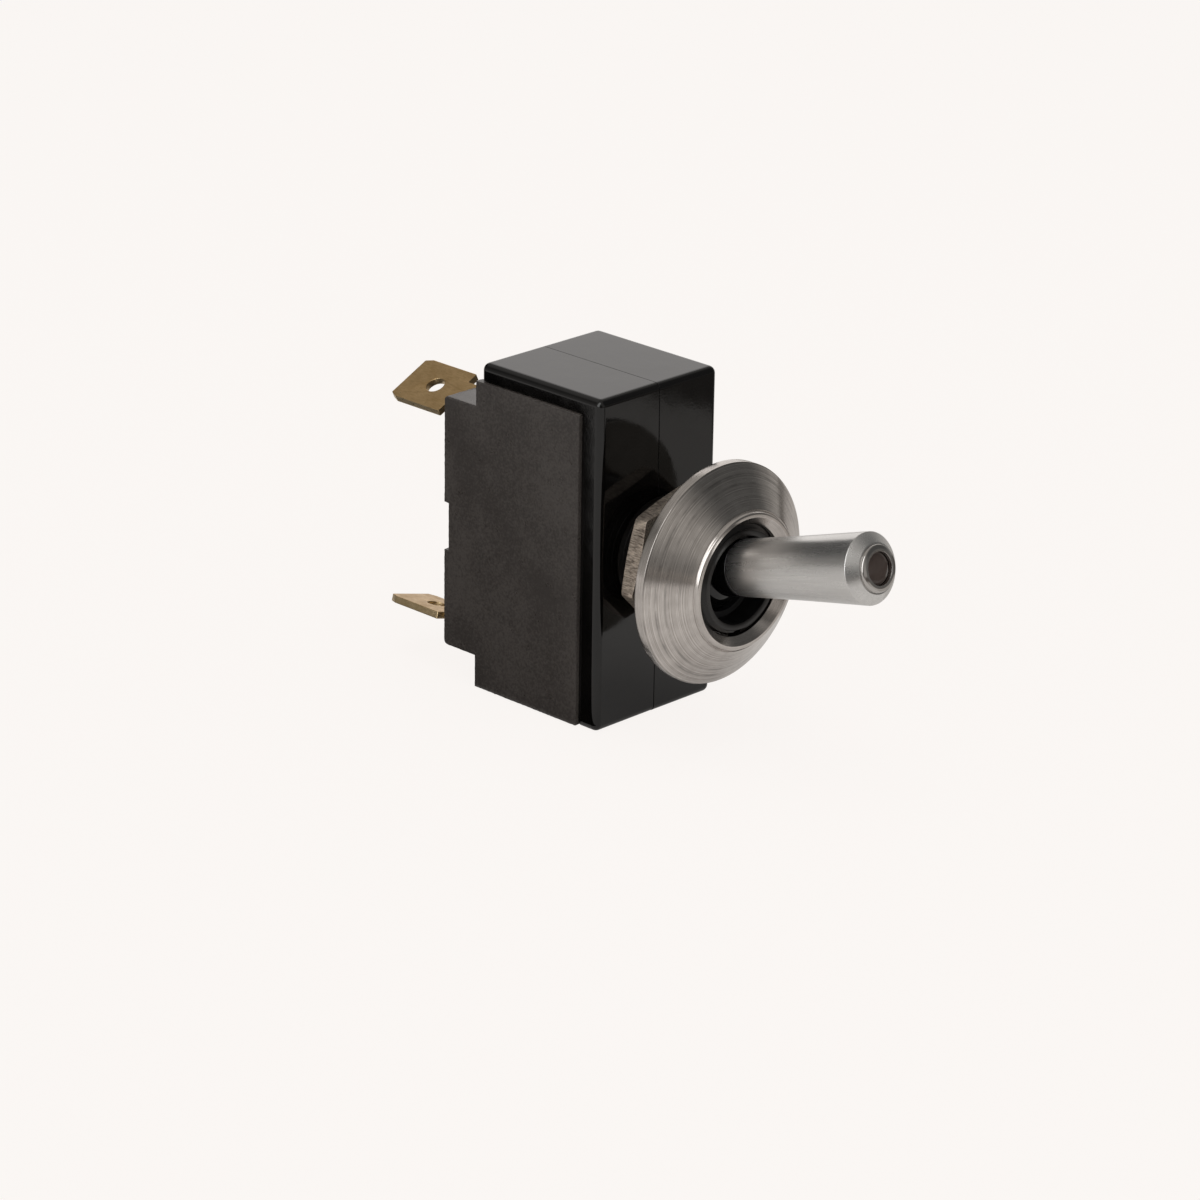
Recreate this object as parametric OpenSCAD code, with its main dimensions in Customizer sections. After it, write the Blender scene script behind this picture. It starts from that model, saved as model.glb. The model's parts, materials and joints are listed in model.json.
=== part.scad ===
// Panel toggle switch with a lit tip: moulded case, threaded bushing with a panel nut and a
// conical dress nut, swinging lever, rocker contact inside and blade terminals behind.
// +X points out of the panel along the bushing, +Z up along the case, +Y across it.
// The origin is on the bushing's axis, on the panel nut's front face where a panel seats.

/* [Case] */
// Height of the case
case_h = 37; // [34:0.5:44]
// Width of the glossy case across its side faces
case_w = 17.6; // [17:0.2:22]
// Depth of the case from its front face to its back
case_d = 17.8; // [17.4:0.2:24]
// Wall thickness of the case
case_wall = 1.8; // [1.4:0.1:2]
// Radius of the case's outer edges
edge_r = 0.8; // [0.3:0.1:1.2]
// Width and depth of the parting groove between the two halves
seam = 0.12; // [0.05:0.01:0.3]

/* [Terminal base] */
// How far the terminal block stands out behind the case
block_d = 5.1; // [3:0.1:9]
// Step from the case's upper end down to the block
step_top = 4.8; // [3:0.1:5.4]
// Step from the case's lower end up to the block
step_low = 3.8; // [3:0.1:5.4]
// Thickness of the base's side plates
plate_t = 1; // [0.8:0.1:1.2]
// How far a side plate stands proud of the case
plate_proud = 0.4; // [0.2:0.1:0.6]
// Bare strip of case in front of a side plate
plate_front = 2.7; // [2:0.1:5]
// Bare strip of case above a side plate
plate_top = 2; // [1.2:0.1:4]
// Height of the shallow notch in the block's back edge
notch_h = 5.4; // [3:0.1:8]
// Depth of that notch
notch_d = 0.65; // [0.3:0.05:1]
// How far the notch's middle lies below the bushing's axis
notch_drop = 1.05; // [0:0.05:2]
// Thickness of the base's floor inside the case
floor_t = 1.7; // [1.2:0.1:2.2]

/* [Bushing and nuts] */
// Outer diameter of the bushing's thread
thread_d = 11.9; // [11.6:0.1:12.4]
// Length of the bushing in front of the case
bush_l = 12.3; // [11.6:0.1:13]
// Bore of the bushing
bush_bore = 9.5; // [9.3:0.1:9.9]
// Width of the keyway along the underside of the thread
keyway_w = 1.7; // [1:0.1:2.4]
// Depth of the keyway
keyway_d = 0.45; // [0.3:0.05:0.6]
// Width of the panel nut across its flats
nut_af = 14.3; // [13.8:0.1:16]
// Thickness of the panel nut
nut_t = 2; // [1.5:0.1:3]
// Gap between the case and the panel nut
nut_gap = 2.25; // [1:0.05:3]
// Turn of the panel nut about the bushing, in degrees
nut_turn = 14; // [0:1:59]
// Diameter of the dress nut's rim
dress_d = 24; // [20:0.5:28]
// Thickness of the dress nut's rim
dress_rim = 0.95; // [0.6:0.05:1.4]
// Height of the dress nut
dress_h = 4.65; // [4:0.05:5.2]
// Outer diameter of the dress nut's nose ring
dress_nose_d = 15; // [14.6:0.1:17]
// Diameter of the dress nut's front mouth
dress_mouth_d = 13.8; // [13.2:0.1:14]
// Gap between the two nuts, where the panel goes
panel_gap = 4.05; // [2.6:0.05:4.2]

/* [Lever] */
// Half of the lever's throw: its tilt at either end, in degrees
lever_tilt = 15.2; // [10:0.1:15.5]
// Distance of the lever's pivot in front of the case
pivot_out = 7.1; // [6.8:0.05:7.6]
// Radius of the lever at its base
lever_r = 3; // [2.6:0.05:3.05]
// Radius of the lever below its flared rim
lever_tip_r = 3.55; // [3:0.05:4]
// Radius of the lever's flared rim
lever_rim_r = 3.78; // [3.2:0.02:4.6]
// Distance of the flared rim from the pivot
lever_len = 23.45; // [20:0.05:32]
// Distance of the lever's bare metal from the pivot
collar_len = 5.8; // [5:0.1:6.2]
// Length of the chamfer past the rim
tip_chamfer = 0.95; // [0.5:0.05:1.5]
// Outer radius of the lamp bezel in the tip
bezel_r = 2.5; // [2.3:0.05:2.9]
// Radius of the lens
lens_r = 2; // [1.7:0.05:2.2]
// Radius of the ball that the lever turns on
ball_r = 4.4; // [4.2:0.05:4.45]
// Radius of the pivot pin
pin_r = 0.775; // [0.6:0.025:1]

/* [Contacts] */
// Half of the rocker's swing, in degrees
rocker_tilt = 9; // [6:0.5:10]
// Radius of the plunger's nose
nose_r = 1.3; // [1.1:0.05:1.35]
// Distance from the rocker's pivot to the middle of the nose, at mid throw
nose_lift = 2.3; // [2.2:0.05:2.6]
// Wire diameter of the plunger spring
spring_wire = 0.35; // [0.25:0.05:0.4]
// Turns of the plunger spring
spring_turns = 6; // [4:1:8]
// Gap that is left between the closed contacts
closed_gap = 0.05; // [0.03:0.01:0.2]

/* [Terminals] */
// Width of a terminal blade
tab_w = 6.35; // [4.8:0.05:6.35]
// Thickness of the terminal metal
tab_t = 0.8; // [0.6:0.05:0.9]
// Length of a blade from its shoulder to its tip
tab_len = 7.65; // [6.5:0.05:9]
// Diameter of the hole in a blade
tab_hole_d = 2.1; // [1.4:0.1:2.4]
// Distance of the hole from the blade's tip
hole_from_tip = 4.2; // [3.4:0.1:4.8]
// Width of the neck behind a blade
neck_w = 3.6; // [2.6:0.1:3.8]
// Bare neck between the block and a blade
neck_len = 2.2; // [1:0.1:4]
// Distance of the outer terminals from the block's ends
tab_in = 1.5; // [1.4:0.1:2.4]
// Distance of the terminals from the case's middle plane
tab_side = 5; // [4.6:0.1:5.2]
// Tilt of the upper blade, in degrees
top_twist = 26; // [0:1:28]
// Tilt of the lower blade, in degrees
low_twist = 15; // [0:1:28]

/* [Hidden] */
$fn = 64;

// Clearances
seat_gap = 0.1;
slot_gap = 0.05;
thread_gap = 0.05;
run_gap = 0.05;
pin_seat_gap = 0.025;
eps = 0.01;
big = 100;

// Case and base
cavity_w = case_w - 2 * case_wall;
cavity_h = case_h - 2 * case_wall;
plate_in = case_w / 2 + plate_proud - plate_t;
block_low = -case_h / 2 + step_low;
block_top = case_h / 2 - step_top;
block_h = block_top - block_low;
back_x = -case_d;
block_x = back_x - block_d;
floor_x = back_x + case_wall + floor_t;
block_edge_r = 0.5;
relief = 0.5;
base_top = cavity_h / 2 - seat_gap;

// Bushing and nuts
thread_r = thread_d / 2;
bore_r = bush_bore / 2;
flange_t = 1.5;
flange_r = cavity_w / 2 - seat_gap;
flare_r = bore_r + 0.45;
flare_from = 1.5;
keeper_t = 1.7;
keeper_r = thread_r + 0.25;
mouth_bevel = 0.25;
thread_bevel = 0.2;
seat_x = nut_gap + nut_t;
dress_x = seat_x + panel_gap;
pin_l = 2 * bore_r + 1;

// Contacts, from the base's floor forwards
strap_x = floor_x + tab_t;
saddle_t = 0.6;
saddle_clear = 0.4;
trunnion_r = 0.6;
rocker_x = strap_x + saddle_t + saddle_clear + trunnion_r;
rocker_w = 4.5;
rocker_t = 0.9;
rocker_rise = 18;
dip = 0.45;
bend_room = 0.82;
nose_reach = pivot_out - rocker_x - nose_lift;
bend_at = nose_reach * sin(lever_tilt) + bend_room;
arm_len = bend_at + 3.4;
contact_at = bend_at + 2;
button_r = 1.5;
button_t = 0.5;
button_step = 0.2;
ear_gap = 0.3;
ear_in = rocker_w / 2 + ear_gap;
ear_t = 0.7;
bend_x = dip + bend_at * tan(rocker_rise);
end_rear = bend_x - rocker_t + (contact_at - bend_at) * tan(rocker_tilt);
contact_x = rocker_x + end_rear * cos(rocker_tilt) - contact_at * sin(rocker_tilt) - eps;
contact_z = -end_rear * sin(rocker_tilt) - contact_at * cos(rocker_tilt);

// Lever, ball and plunger
nose_out = 1.8;
stem_r = 2;
stem_end_r = 2.2;
stem_end = nose_reach - nose_out;
stem_swell = 3;
stem_blend = 0.4;
spigot_r = 2.35;
spigot_from = 1.6;
collar_bevel = 0.3;
tube_bore_r = 1.75;
tip_bore_r = bezel_r - 0.3;
shank_len = 3.6;
spring_len = 4.7;
spring_gap = 0.1;
spring_seat = nose_reach - shank_len - spring_len;
lead_r = 0.22;
lead_side = 0.7;
resistor_r = 0.55;
resistor_len = 3.2;
lens_out = 1.2;
bezel_out = 1.4;
bezel_seat = 0.9;
lens_t = 1.3;
lens_dome = 0.2;
lamp_r = 1.5;
lamp_l = 4.2;
lamp_flange = 1;
lamp_gap = 1.5;
lens_face = lever_len + lens_out;
tip_x = lever_len + tip_chamfer;
lamp_front = lens_face - lamp_gap;
lamp_back = lamp_front - lamp_l;
resistor_mid = (lamp_back + spigot_from) / 2;

// Terminals
row_mid = (block_low + block_top) / 2;
top_z = block_top - tab_in;
low_z = block_low + tab_in;
shoulder_x = block_x - neck_len;
strap_w = 3.4;
foot_h = 2.5;
foot_side = 1.2;
tip_cut_w = 0.4;
tip_cut_l = 0.95;

// ---- helpers ----

// Rectangle from corner a to corner b with rounded corners
module round_rect(a, b, r) {
    translate([a[0] + r, a[1]]) square([b[0] - a[0] - 2 * r, b[1] - a[1]]);
    translate([a[0], a[1] + r]) square([b[0] - a[0], b[1] - a[1] - 2 * r]);
    for (u = [a[0] + r, b[0] - r], v = [a[1] + r, b[1] - r])
        translate([u, v]) circle(r, $fn = 32);
}

// Extrudes an X-Z outline along Y, from y0 to y1
module along_y(y0, y1) {
    translate([0, y1, 0]) rotate([90, 0, 0]) linear_extrude(y1 - y0) children();
}

// Extrudes a Y-Z outline along X, from x0 to x1
module along_x(x0, x1) {
    translate([x0, 0, 0]) rotate([90, 0, 90]) linear_extrude(x1 - x0) children();
}

// Turns an outline of [distance along X, radius] points about the X axis
module turned(points) {
    rotate([0, 90, 0])
        rotate_extrude() polygon([for (p = points) [p[1], p[0]]]);
}

// A cylinder along X
module rod_x(r, x0, x1) {
    translate([x0, 0, 0]) rotate([0, 90, 0]) cylinder(r = r, h = x1 - x0);
}

// A cylinder across the part, centred on its middle plane
module rod_y(r, w) {
    rotate([90, 0, 0]) cylinder(r = r, h = w, center = true);
}

// Places what is drawn from the case's front face into the part's frame
module placed() {
    translate([-seat_x, 0, 0]) children();
}

// Places what is drawn along the lever's own axis, +X to the tip, from the pivot
module on_lever() {
    placed() translate([pivot_out, 0, 0]) rotate([0, -lever_tilt, 0]) children();
}

// Places what is drawn about the rocker's pivot, +Z along the rocker
module on_rocker() {
    placed() translate([rocker_x, 0, 0]) rotate([0, rocker_tilt, 0]) children();
}

// ---- case ----

// The case's outer block with its edges rounded
module case_block(inset = 0) {
    x0 = back_x + inset;
    x1 = -inset;
    y1 = case_w / 2 - inset;
    z1 = case_h / 2 - inset;
    intersection() {
        linear_extrude(2 * z1, center = true) round_rect([x0, -y1], [x1, y1], edge_r);
        along_x(x0, x1) round_rect([-y1, -z1], [y1, z1], edge_r);
        along_y(-y1, y1) round_rect([x0, -z1], [x1, z1], edge_r);
    }
}

// Side plate outline in X-Z, grown by a gap on the sides that sit in the case
module plate_outline(gap = 0) {
    translate([back_x - eps, -case_h / 2 - gap])
        square([case_d - plate_front + eps + gap, case_h - plate_top + 2 * gap]);
}

// One half of the case; side is -1 for the left half and 1 for the right
module housing_half(side) {
    difference() {
        union() {
            intersection() {
                case_block();
                translate([-big, side > 0 ? seam : -big - seam, -big]) cube([2 * big, big, 2 * big]);
            }
            intersection() {
                case_block(seam);
                translate([-big, side > 0 ? 0 : -seam - eps, -big])
                    cube([2 * big, seam + eps, 2 * big]);
            }
        }
        difference() {
            translate([back_x + case_wall, -cavity_w / 2, -cavity_h / 2])
                cube([case_d - 2 * case_wall, cavity_w, cavity_h]);
            flange_keeper();
        }
        rod_x(thread_r + seat_gap, -big / 2, eps);
        translate([back_x - eps, -cavity_w / 2, block_low])
            cube([case_wall + 2 * eps, cavity_w, block_h]);
        along_y(plate_in - seat_gap, big) plate_outline(seat_gap);
        along_y(-big, seat_gap - plate_in) plate_outline(seat_gap);
    }
}

// Ribbed wall inside the case that holds the bushing's flange against the front
module flange_keeper() {
    x1 = -case_wall - flange_t - seat_gap;
    difference() {
        translate([x1 - keeper_t, -cavity_w / 2 - eps, -cavity_h / 2 - eps])
            cube([keeper_t, cavity_w + 2 * eps, cavity_h + 2 * eps]);
        rod_x(keeper_r, -big / 2, 0);
    }
}

module housing_left() {
    color("#1c1a19") placed() housing_half(-1);
}

module housing_right() {
    color("#1c1a19") placed() housing_half(1);
}

// Terminal block with its notch, in X-Z
module block_outline(front) {
    difference() {
        round_rect([block_x, block_low], [front, block_top], block_edge_r);
        translate([block_x - eps, -notch_drop - notch_h / 2]) square([notch_d + eps, notch_h]);
    }
}

// A side plate: the block's outline and the plate's, with a relief nick in the upper corner
module side_plate_outline() {
    difference() {
        union() {
            block_outline(back_x + 2 * block_edge_r);
            plate_outline();
        }
        translate([back_x - relief / 2, block_top - relief / 2]) square(relief);
    }
}

// Slot through the base for one terminal's neck
module neck_slot(y, z, twist) {
    translate([-big / 2, y, z]) rotate([twist, 0, 0])
        translate([0, -neck_w / 2 - slot_gap, -tab_t / 2 - slot_gap])
            cube([big, neck_w + 2 * slot_gap, tab_t + 2 * slot_gap]);
}

module terminal_base() {
    color("#2b2a29") placed() difference() {
        union() {
            for (side = [-1, 1])
                translate([0, side * (plate_in + plate_t / 2), 0])
                    along_y(-plate_t / 2, plate_t / 2) side_plate_outline();
            along_y(-plate_in - eps, plate_in + eps) intersection() {
                block_outline(back_x + 2 * block_edge_r);
                translate([-big - case_d, -big / 2]) square([big, big]);
            }
            translate([back_x - eps, -cavity_w / 2 + seat_gap, block_low + seat_gap])
                cube([case_wall + eps, cavity_w - 2 * seat_gap, block_h - 2 * seat_gap]);
            translate([back_x + case_wall, -cavity_w / 2 + seat_gap, -base_top])
                cube([floor_t, cavity_w - 2 * seat_gap, 2 * base_top]);
        }
        neck_slot(-tab_side, top_z, top_twist);
        neck_slot(-tab_side, low_z, -low_twist);
        neck_slot(tab_side, row_mid, 0);
    }
}

// ---- bushing and nuts ----

// Bushing with its flange, flared bore and keyway; two blind slots in the bore take the pin
module bushing() {
    flange_x = -case_wall - flange_t;
    color("#191919") placed() difference() {
        turned([[flange_x, flare_r], [flange_x, flange_r], [-case_wall, flange_r],
                [-case_wall, thread_r], [bush_l - thread_bevel, thread_r],
                [bush_l, thread_r - thread_bevel], [bush_l, bore_r + mouth_bevel],
                [bush_l - mouth_bevel, bore_r], [flare_from, bore_r]]);
        translate([0, -keyway_w / 2, -thread_r - eps])
            cube([bush_l + eps, keyway_w, keyway_d + eps]);
        translate([pivot_out, 0, 0]) rod_y(pin_r + pin_seat_gap, pin_l + 2 * seat_gap);
        translate([-case_wall - flange_t - eps, -pin_l / 2 - seat_gap, -pin_r - pin_seat_gap])
            cube([pivot_out + case_wall + flange_t, pin_l + 2 * seat_gap, 2 * (pin_r + pin_seat_gap)]);
    }
}

// Hexagonal panel nut with both faces chamfered at the corners
module panel_nut() {
    corner_r = nut_af / 2 / cos(30);
    face_r = nut_af / 2 - 0.1;
    cone_r = corner_r + 0.3;
    bevel = 0.55;
    hole_r = thread_r + thread_gap;
    color("#b5aea2") placed() translate([nut_gap, 0, 0]) difference() {
        intersection() {
            rotate([-nut_turn, 0, 0]) rotate([0, 90, 0]) cylinder(r = corner_r, h = nut_t, $fn = 6);
            turned([[0, 0], [0, face_r], [bevel, cone_r], [nut_t - bevel, cone_r],
                    [nut_t, face_r], [nut_t, 0]]);
        }
        rod_x(hole_r, -1, nut_t + 1);
    }
}

// Conical dress nut, turned: rim, cone, rounded nose ring and open mouth
module dress_nut() {
    rim_r = dress_d / 2;
    nose_r0 = dress_nose_d / 2;
    mouth_r = dress_mouth_d / 2;
    nose = (nose_r0 - mouth_r) / 2;
    hole_r = thread_r + thread_gap;
    mouth_x = dress_h - 2.6;
    color("#b9b6b0") placed() translate([dress_x, 0, 0]) difference() {
        union() {
            turned([[0, 0], [0, rim_r - 0.15], [0.15, rim_r], [dress_rim, rim_r],
                    [dress_rim + 0.35, rim_r - 0.2], [dress_h - 0.5, nose_r0 + 0.05],
                    [dress_h - nose, nose_r0], [dress_h - nose, 0]]);
            translate([dress_h - nose, 0, 0]) rotate([0, 90, 0])
                rotate_extrude() translate([mouth_r + nose, 0]) circle(nose, $fn = 24);
        }
        rod_x(mouth_r, mouth_x, dress_h + 1);
        rod_x(hole_r, -1, dress_h + 1);
    }
}

// Rubber washer in the bushing that wipes the ball
module seal_ring() {
    ring_x = pivot_out + 2;
    color("#101010") placed()
        turned([[ring_x, bore_r - 0.7], [ring_x, bore_r - pin_seat_gap],
                [ring_x + 0.7, bore_r - pin_seat_gap], [ring_x + 0.7, bore_r - 0.7]]);
}

module pivot_pin() {
    color("#c9c9c6") placed() translate([pivot_out, 0, 0]) rod_y(pin_r, pin_l);
}

// ---- lever ----

// Moulded carrier: collar, ball and stem in one, with the pin hole and the plunger's bore
module actuator() {
    color("#141414") on_lever() difference() {
        union() {
            sphere(ball_r);
            turned([[0, 0], [0, lever_r], [collar_len - collar_bevel, lever_r],
                    [collar_len, lever_r - collar_bevel / 2], [collar_len, 0]]);
            turned([[-stem_end, 0], [-stem_end, stem_end_r], [stem_swell - stem_end, stem_end_r],
                    [stem_swell + stem_blend - stem_end, stem_r], [0, stem_r], [0, 0]]);
        }
        rod_y(pin_r + run_gap, 3 * ball_r);
        rod_x(spigot_r, spigot_from, big);
        rod_x(nose_r + run_gap, -big, -spring_seat);
    }
}

// Metal tube: spigot, gentle taper, flared rim, chamfer, and the bores for leads and bezel
module lever() {
    flare_len = 1.9;
    chamfer_r = bezel_r + 0.15;
    tip_step = 1.4;
    color("#bdbbb8") on_lever() difference() {
        turned([[spigot_from, 0], [spigot_from, spigot_r], [collar_len, spigot_r],
                [collar_len, lever_r + 0.02], [lever_len - flare_len, lever_tip_r],
                [lever_len - flare_len / 3, lever_tip_r + 0.1], [lever_len, lever_rim_r],
                [tip_x, chamfer_r], [tip_x, 0]]);
        rod_x(tube_bore_r, -big, big);
        rod_x(tip_bore_r, lens_face - lens_t - tip_step, big);
    }
}

// Rounded ring that holds the lens in the tip
module tip_bezel() {
    ring = (bezel_r - lens_r) / 2;
    face = lever_len + bezel_out;
    color("#8f8d8a") on_lever() {
        turned([[tip_x - bezel_seat, lens_r + run_gap], [tip_x - bezel_seat, tip_bore_r - run_gap],
                [tip_x, tip_bore_r - run_gap], [tip_x, bezel_r], [face - ring, bezel_r],
                [face - ring / 3, bezel_r - ring / 2], [face, bezel_r - ring],
                [face - ring / 3, lens_r + ring / 2], [face - ring, lens_r + run_gap]]);
    }
}

// Domed lens in the bezel
module tip_lens() {
    dome_r = (lens_r * lens_r + lens_dome * lens_dome) / (2 * lens_dome);
    color("#3a2a22") on_lever() intersection() {
        rod_x(lens_r, lens_face - lens_t, lens_face + lens_t);
        translate([lens_face - dome_r, 0, 0]) sphere(dome_r, $fn = 128);
    }
}

// Lamp behind the lens: body with a domed end and a flange
module lamp() {
    color("#d8d2c4") on_lever() {
        rod_x(lamp_r, lamp_back, lamp_front - lamp_r);
        translate([lamp_front - lamp_r, 0, 0]) sphere(lamp_r);
        rod_x(tube_bore_r - run_gap, lamp_back, lamp_back + lamp_flange);
    }
}

// Dropping resistor in line with the hot lead
module lamp_resistor() {
    color("#c7a46a") on_lever() translate([0, 0, lead_side])
        rod_x(resistor_r, resistor_mid - resistor_len / 2, resistor_mid + resistor_len / 2);
}

// Hot lead in two straight runs, before and after the resistor, ending on its caps
module lamp_lead_hot() {
    color("#b0442f") on_lever() translate([0, 0, lead_side]) {
        rod_x(lead_r, resistor_mid + resistor_len / 2, lamp_back);
        rod_x(lead_r, spigot_from, resistor_mid - resistor_len / 2);
    }
}

module lamp_lead_return() {
    color("#2a2a2a") on_lever() translate([0, 0, -lead_side]) rod_x(lead_r, spigot_from, lamp_back);
}

// Sprung plunger with a ball nose that runs along the rocker
module plunger() {
    color("#e4dfd2") on_lever() {
        translate([-nose_reach, 0, 0]) sphere(nose_r);
        rod_x(nose_r, -nose_reach, -nose_reach + shank_len);
    }
}

// Coil spring between the plunger and the end of its bore, with closed end turns
module plunger_spring() {
    sides = 8;
    steps = 18;
    from = nose_reach - shank_len - spring_gap - spring_wire / 2;
    to = spring_seat + spring_gap + spring_wire / 2;
    coil_r = nose_r - spring_wire / 2 - 0.1;
    end_rise = 1.05 * spring_wire;
    free_rise = from - to - 2 * end_rise;
    free_turns = spring_turns - 2;
    // Distance along the spring after t turns: one closed turn at each end
    function rise(t) = t < 1 ? end_rise * t
        : t > spring_turns - 1 ? from - to - end_rise * (spring_turns - t)
        : end_rise + free_rise * (t - 1) / free_turns;
    points = [for (i = [0 : spring_turns * steps], k = [0 : sides - 1])
        let (t = i / steps, a = 360 * t, b = 360 * k / sides,
             r = coil_r + spring_wire / 2 * cos(b))
        [-from + rise(t) + spring_wire / 2 * sin(b), r * cos(a), r * sin(a)]];
    last = spring_turns * steps * sides;
    faces = concat(
        [[for (k = [0 : sides - 1]) k]],
        [for (i = [0 : spring_turns * steps - 1], k = [0 : sides - 1])
            let (m = i * sides, n = (k + 1) % sides)
            [m + k, m + sides + k, m + sides + n, m + n]],
        [[for (k = [sides - 1 : -1 : 0]) last + k]]);
    color("#9c9c9c") on_lever() polyhedron(points, faces, convexity = 10);
}

// ---- contacts ----

// Side outline of the rocker: a bent strip that rises from its pivot to both ends
module rocker_outline() {
    end_x = bend_x + (arm_len - bend_at) * tan(rocker_tilt);
    polygon([[end_x, arm_len], [bend_x, bend_at], [dip, 0], [bend_x, -bend_at],
             [end_x, -arm_len], [end_x - rocker_t, -arm_len], [bend_x - rocker_t, -bend_at],
             [dip - rocker_t, 0], [bend_x - rocker_t, bend_at], [end_x - rocker_t, arm_len]]);
}

module rocker() {
    color("#c58a52") on_rocker() {
        along_y(-rocker_w / 2, rocker_w / 2) rocker_outline();
        rod_y(trunnion_r, 2 * (ear_in + ear_t) - 0.1);
    }
}

// Button under the rocker's lower arm
module moving_contact() {
    color("#d9d9d4") placed() translate([0, 0, contact_z]) 
        rod_x(button_r, contact_x - button_t, contact_x);
}

// Button on the load terminal
module fixed_contact() {
    color("#d9d9d4") placed() translate([0, 0, contact_z])
        rod_x(button_r + button_step, strap_x, contact_x - button_t - closed_gap);
}

// Bracket with two notched ears that the rocker tilts in
module saddle() {
    ear_x = rocker_x + trunnion_r + saddle_clear;
    half = ear_in + ear_t;
    notch_r = trunnion_r + run_gap;
    color("#b98a4e") placed() difference() {
        union() {
            translate([strap_x, -half, -strap_w / 2]) cube([saddle_t, 2 * half, strap_w]);
            for (side = [-1, 1])
                translate([0, side * (ear_in + ear_t / 2), 0])
                    along_y(-ear_t / 2, ear_t / 2)
                        translate([strap_x, -strap_w / 2]) square([ear_x - strap_x, strap_w]);
        }
        translate([rocker_x, 0, 0]) rod_y(notch_r, 4 * half);
        translate([rocker_x, -2 * half, -notch_r]) cube([big, 4 * half, 2 * notch_r]);
    }
}

// ---- terminals ----

// Blade outline in X-Y: tip chamfers, shoulders and neck, about the terminal's axis
module blade_outline() {
    tip = shoulder_x - tab_len;
    half = tab_w / 2;
    difference() {
        polygon([[tip, half - tip_cut_w], [tip + tip_cut_l, half], [shoulder_x, half],
                 [shoulder_x, neck_w / 2], [strap_x, neck_w / 2], [strap_x, -neck_w / 2],
                 [shoulder_x, -neck_w / 2], [shoulder_x, -half], [tip + tip_cut_l, -half],
                 [tip, -half + tip_cut_w]]);
        translate([tip + hole_from_tip, 0]) circle(tab_hole_d / 2);
    }
}

module blade(y, z, twist) {
    translate([0, y, z]) rotate([twist, 0, 0]) linear_extrude(tab_t, center = true) blade_outline();
}

// Foot plate that lies on the base's floor, from a Y-Z outline
module foot() {
    along_x(floor_x, strap_x) children();
}

// The part of a foot that reaches from an outer terminal's neck to the middle
module side_foot(z) {
    from = -tab_side - neck_w / 2;
    foot_reach = strap_w / 2 - from;
    translate([from, z - foot_h / 2]) square([foot_reach, foot_h]);
}

module line_terminal() {
    color("#b59a5e") placed() {
        blade(-tab_side, top_z, top_twist);
        foot() {
            side_foot(top_z);
            translate([-strap_w / 2, -strap_w / 2]) square([strap_w, top_z + strap_w / 2]);
        }
    }
}

module load_terminal() {
    pad_w = 2 * (button_r + 2 * button_step);
    color("#b59a5e") placed() {
        blade(-tab_side, low_z, -low_twist);
        foot() {
            side_foot(low_z);
            translate([-pad_w / 2, low_z]) square([pad_w, contact_z + pad_w / 2 - low_z]);
        }
    }
}

module ground_terminal() {
    color("#b59a5e") placed() {
        blade(tab_side, row_mid, 0);
        foot() translate([tab_side - foot_side, row_mid - foot_h / 2])
            square([2 * foot_side, foot_h]);
    }
}

housing_left();
housing_right();
terminal_base();
bushing();
panel_nut();
dress_nut();
seal_ring();
pivot_pin();
actuator();
lever();
tip_bezel();
tip_lens();
lamp();
lamp_resistor();
lamp_lead_hot();
lamp_lead_return();
plunger();
plunger_spring();
rocker();
moving_contact();
fixed_contact();
saddle();
line_terminal();
load_terminal();
ground_terminal();
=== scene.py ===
"""Panel toggle switch: camera, light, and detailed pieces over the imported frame.

Meshes are drawn in millimetres and scaled to metres as each piece is made. X runs from the
blades to the lever, Y across the switch and Z up. The lever's pieces are turned about X and
then set on the pivot at their rest angle.
"""
import json
import math

import bmesh
import bpy
from mathutils import Matrix, Vector, noise

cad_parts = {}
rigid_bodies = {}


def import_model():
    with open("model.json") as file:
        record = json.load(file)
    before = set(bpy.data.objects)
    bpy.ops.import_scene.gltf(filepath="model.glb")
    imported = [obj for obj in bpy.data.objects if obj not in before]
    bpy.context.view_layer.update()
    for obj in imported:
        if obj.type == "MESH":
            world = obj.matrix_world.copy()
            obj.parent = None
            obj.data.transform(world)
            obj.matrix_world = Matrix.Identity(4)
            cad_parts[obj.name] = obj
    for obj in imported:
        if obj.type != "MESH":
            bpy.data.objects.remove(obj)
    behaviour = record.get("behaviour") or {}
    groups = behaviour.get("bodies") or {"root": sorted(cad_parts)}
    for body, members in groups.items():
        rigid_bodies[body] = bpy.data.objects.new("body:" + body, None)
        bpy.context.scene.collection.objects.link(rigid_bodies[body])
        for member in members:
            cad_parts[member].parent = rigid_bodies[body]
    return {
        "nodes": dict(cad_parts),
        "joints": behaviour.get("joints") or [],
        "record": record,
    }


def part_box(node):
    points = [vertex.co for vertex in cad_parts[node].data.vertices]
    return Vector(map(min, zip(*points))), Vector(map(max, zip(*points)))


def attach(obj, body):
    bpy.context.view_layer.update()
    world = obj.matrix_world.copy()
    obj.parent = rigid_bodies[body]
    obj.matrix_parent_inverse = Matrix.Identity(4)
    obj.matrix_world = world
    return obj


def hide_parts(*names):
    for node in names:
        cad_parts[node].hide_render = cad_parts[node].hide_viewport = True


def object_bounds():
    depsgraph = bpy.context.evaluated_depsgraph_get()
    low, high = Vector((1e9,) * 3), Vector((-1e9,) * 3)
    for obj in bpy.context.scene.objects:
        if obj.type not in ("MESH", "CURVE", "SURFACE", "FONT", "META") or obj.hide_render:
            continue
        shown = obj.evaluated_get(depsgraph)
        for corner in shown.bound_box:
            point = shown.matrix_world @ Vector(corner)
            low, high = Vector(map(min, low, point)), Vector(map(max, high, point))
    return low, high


for old in list(bpy.data.objects):
    bpy.data.objects.remove(old, do_unlink=True)

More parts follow.
